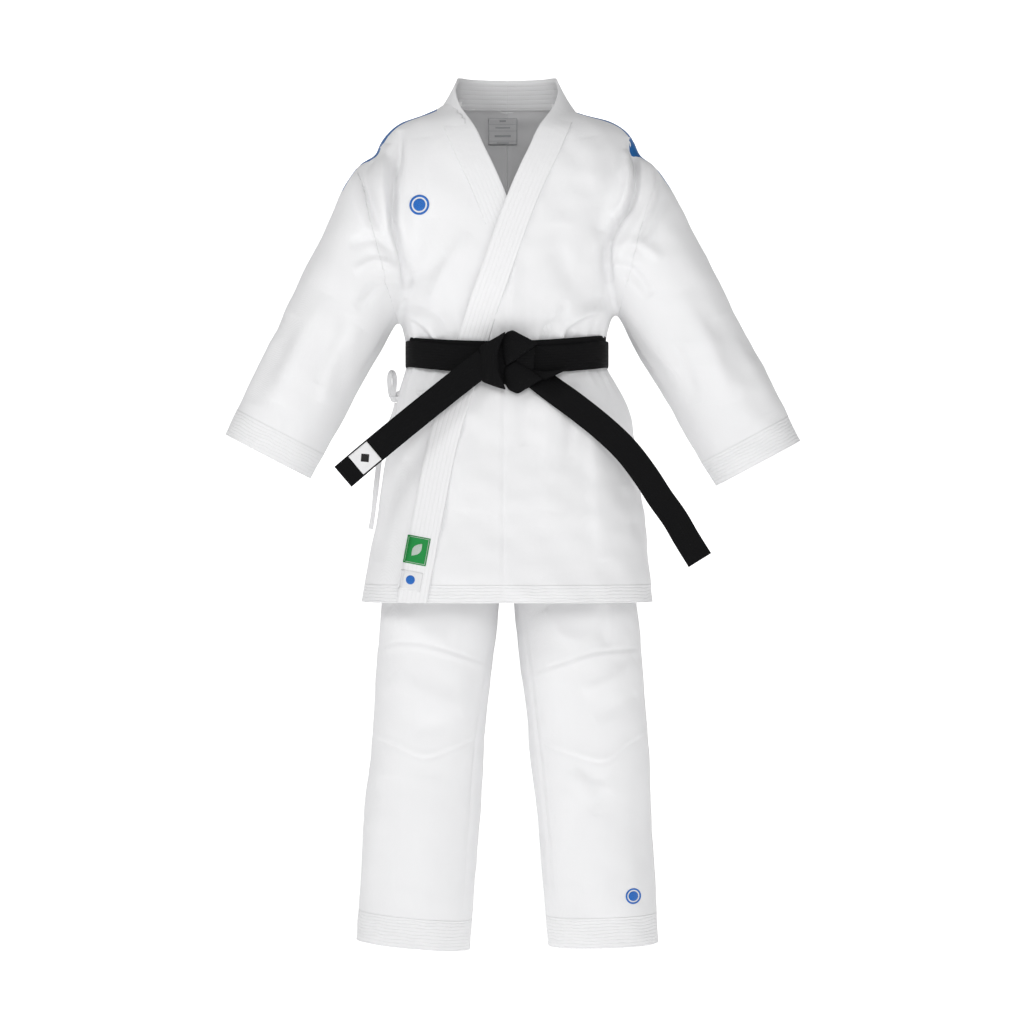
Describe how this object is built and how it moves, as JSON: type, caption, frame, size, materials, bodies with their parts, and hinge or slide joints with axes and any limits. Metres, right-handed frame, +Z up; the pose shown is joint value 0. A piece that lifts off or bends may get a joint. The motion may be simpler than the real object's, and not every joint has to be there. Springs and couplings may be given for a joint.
{
  "type": "martial arts uniform",
  "caption": "Karate uniform as worn: wrapped white jacket with wide sleeves, straight trousers, and a black belt tied in a flat knot with two hanging ends.",
  "frame": {"origin": "base of the neck, midway between the shoulders, where the collar meets the shoulder line: the wearer or a hanger carries the uniform there", "axes": "+Z up, -Y the front of the uniform, +X the wearer's left"},
  "size_m": [0.9244, 0.3146, 1.3967],
  "materials": {
    "white_cotton": "bleached cotton canvas",
    "white_twill_inside": "bleached cotton twill",
    "black_belt": "black cotton, rows of stitching",
    "blue_tape": "woven tape",
    "blue_embroidery": "satin stitch",
    "green_label": "woven label",
    "white_label": "woven label",
    "tie_tape": "cotton tape",
    "elastic": "knitted elastic"
  },
  "bodies": {
    "jacket": {"back_panel": "white_cotton", "front_panel_right": "white_cotton", "front_panel_left": "white_cotton", "lapel_right": "white_cotton", "lapel_left": "white_cotton", "shoulder_yoke_right": "white_cotton", "shoulder_yoke_left": "white_cotton", "hem_band_back": "white_cotton", "hem_band_right": "white_cotton", "hem_band_left": "white_cotton", "vent_patch_right": "white_cotton", "vent_patch_left": "white_cotton", "shoulder_tape_right": "blue_tape", "shoulder_tape_left": "blue_tape", "collar": "white_cotton", "chest_emblem": "blue_embroidery", "lapel_label": "green_label", "lapel_badge": "white_label", "neck_label": "white_label", "side_tie_bow": "tie_tape", "side_tie_strap": "tie_tape", "side_tie_tail": "tie_tape", "belt_wrap_inner": "black_belt", "belt_wrap_outer": "black_belt", "belt_knot_core": "black_belt", "belt_knot_wrap": "black_belt"},
    "sleeve_right": {"sleeve_right": "white_cotton", "cuff_band_right": "white_cotton", "underarm_gusset_right": "white_cotton", "sleeve_tape_right": "blue_tape"},
    "sleeve_left": {"sleeve_left": "white_cotton", "cuff_band_left": "white_cotton", "underarm_gusset_left": "white_cotton", "sleeve_tape_left": "blue_tape"},
    "belt_end_right": {"belt_end_right": "black_belt", "belt_end_label": "white_label"},
    "belt_end_left": {"belt_end_left": "black_belt"},
    "trousers": {"seat_front": "white_twill_inside", "seat_back": "white_twill_inside", "waistband": "white_twill_inside", "waist_elastic": "elastic", "crotch_gusset": "white_twill_inside"},
    "leg_right": {"leg_right": "white_cotton", "knee_panel_right": "white_cotton", "trouser_hem_right": "white_cotton"},
    "leg_left": {"leg_left": "white_cotton", "knee_panel_left": "white_cotton", "trouser_hem_left": "white_cotton", "trouser_emblem": "blue_embroidery"}
  },
  "joints": [
    {"name": "sleeve_right_raise", "type": "hinge", "parent": "jacket", "child": "sleeve_right", "pos_m": [-0.222, 0, -0.239], "axis": [0, 1, 0], "range_deg": [-3, 60]},
    {"name": "sleeve_left_raise", "type": "hinge", "parent": "jacket", "child": "sleeve_left", "pos_m": [0.222, 0, -0.239], "axis": [0, -1, 0], "range_deg": [-3, 60]},
    {"name": "belt_end_right_swing", "type": "hinge", "parent": "jacket", "child": "belt_end_right", "pos_m": [-0.04, -0.13156, -0.412], "axis": [0, -0.9954, 0.0958], "range_deg": [-25, 40]},
    {"name": "belt_end_left_swing", "type": "hinge", "parent": "jacket", "child": "belt_end_left", "pos_m": [0.05, -0.13156, -0.438], "axis": [0, 0.9954, -0.0958], "range_deg": [-25, 35]},
    {"name": "trousers_lower", "type": "slide", "parent": "jacket", "child": "trousers", "axis": [0, 0, -1], "range_m": [0, 0.45]},
    {"name": "leg_right_swing", "type": "hinge", "parent": "trousers", "child": "leg_right", "pos_m": [-0.1, 0, -0.562], "axis": [1, 0, 0], "range_deg": [-7, 7]},
    {"name": "leg_left_swing", "type": "hinge", "parent": "trousers", "child": "leg_left", "pos_m": [0.1, 0, -0.562], "axis": [1, 0, 0], "range_deg": [-7, 7]}
  ]
}
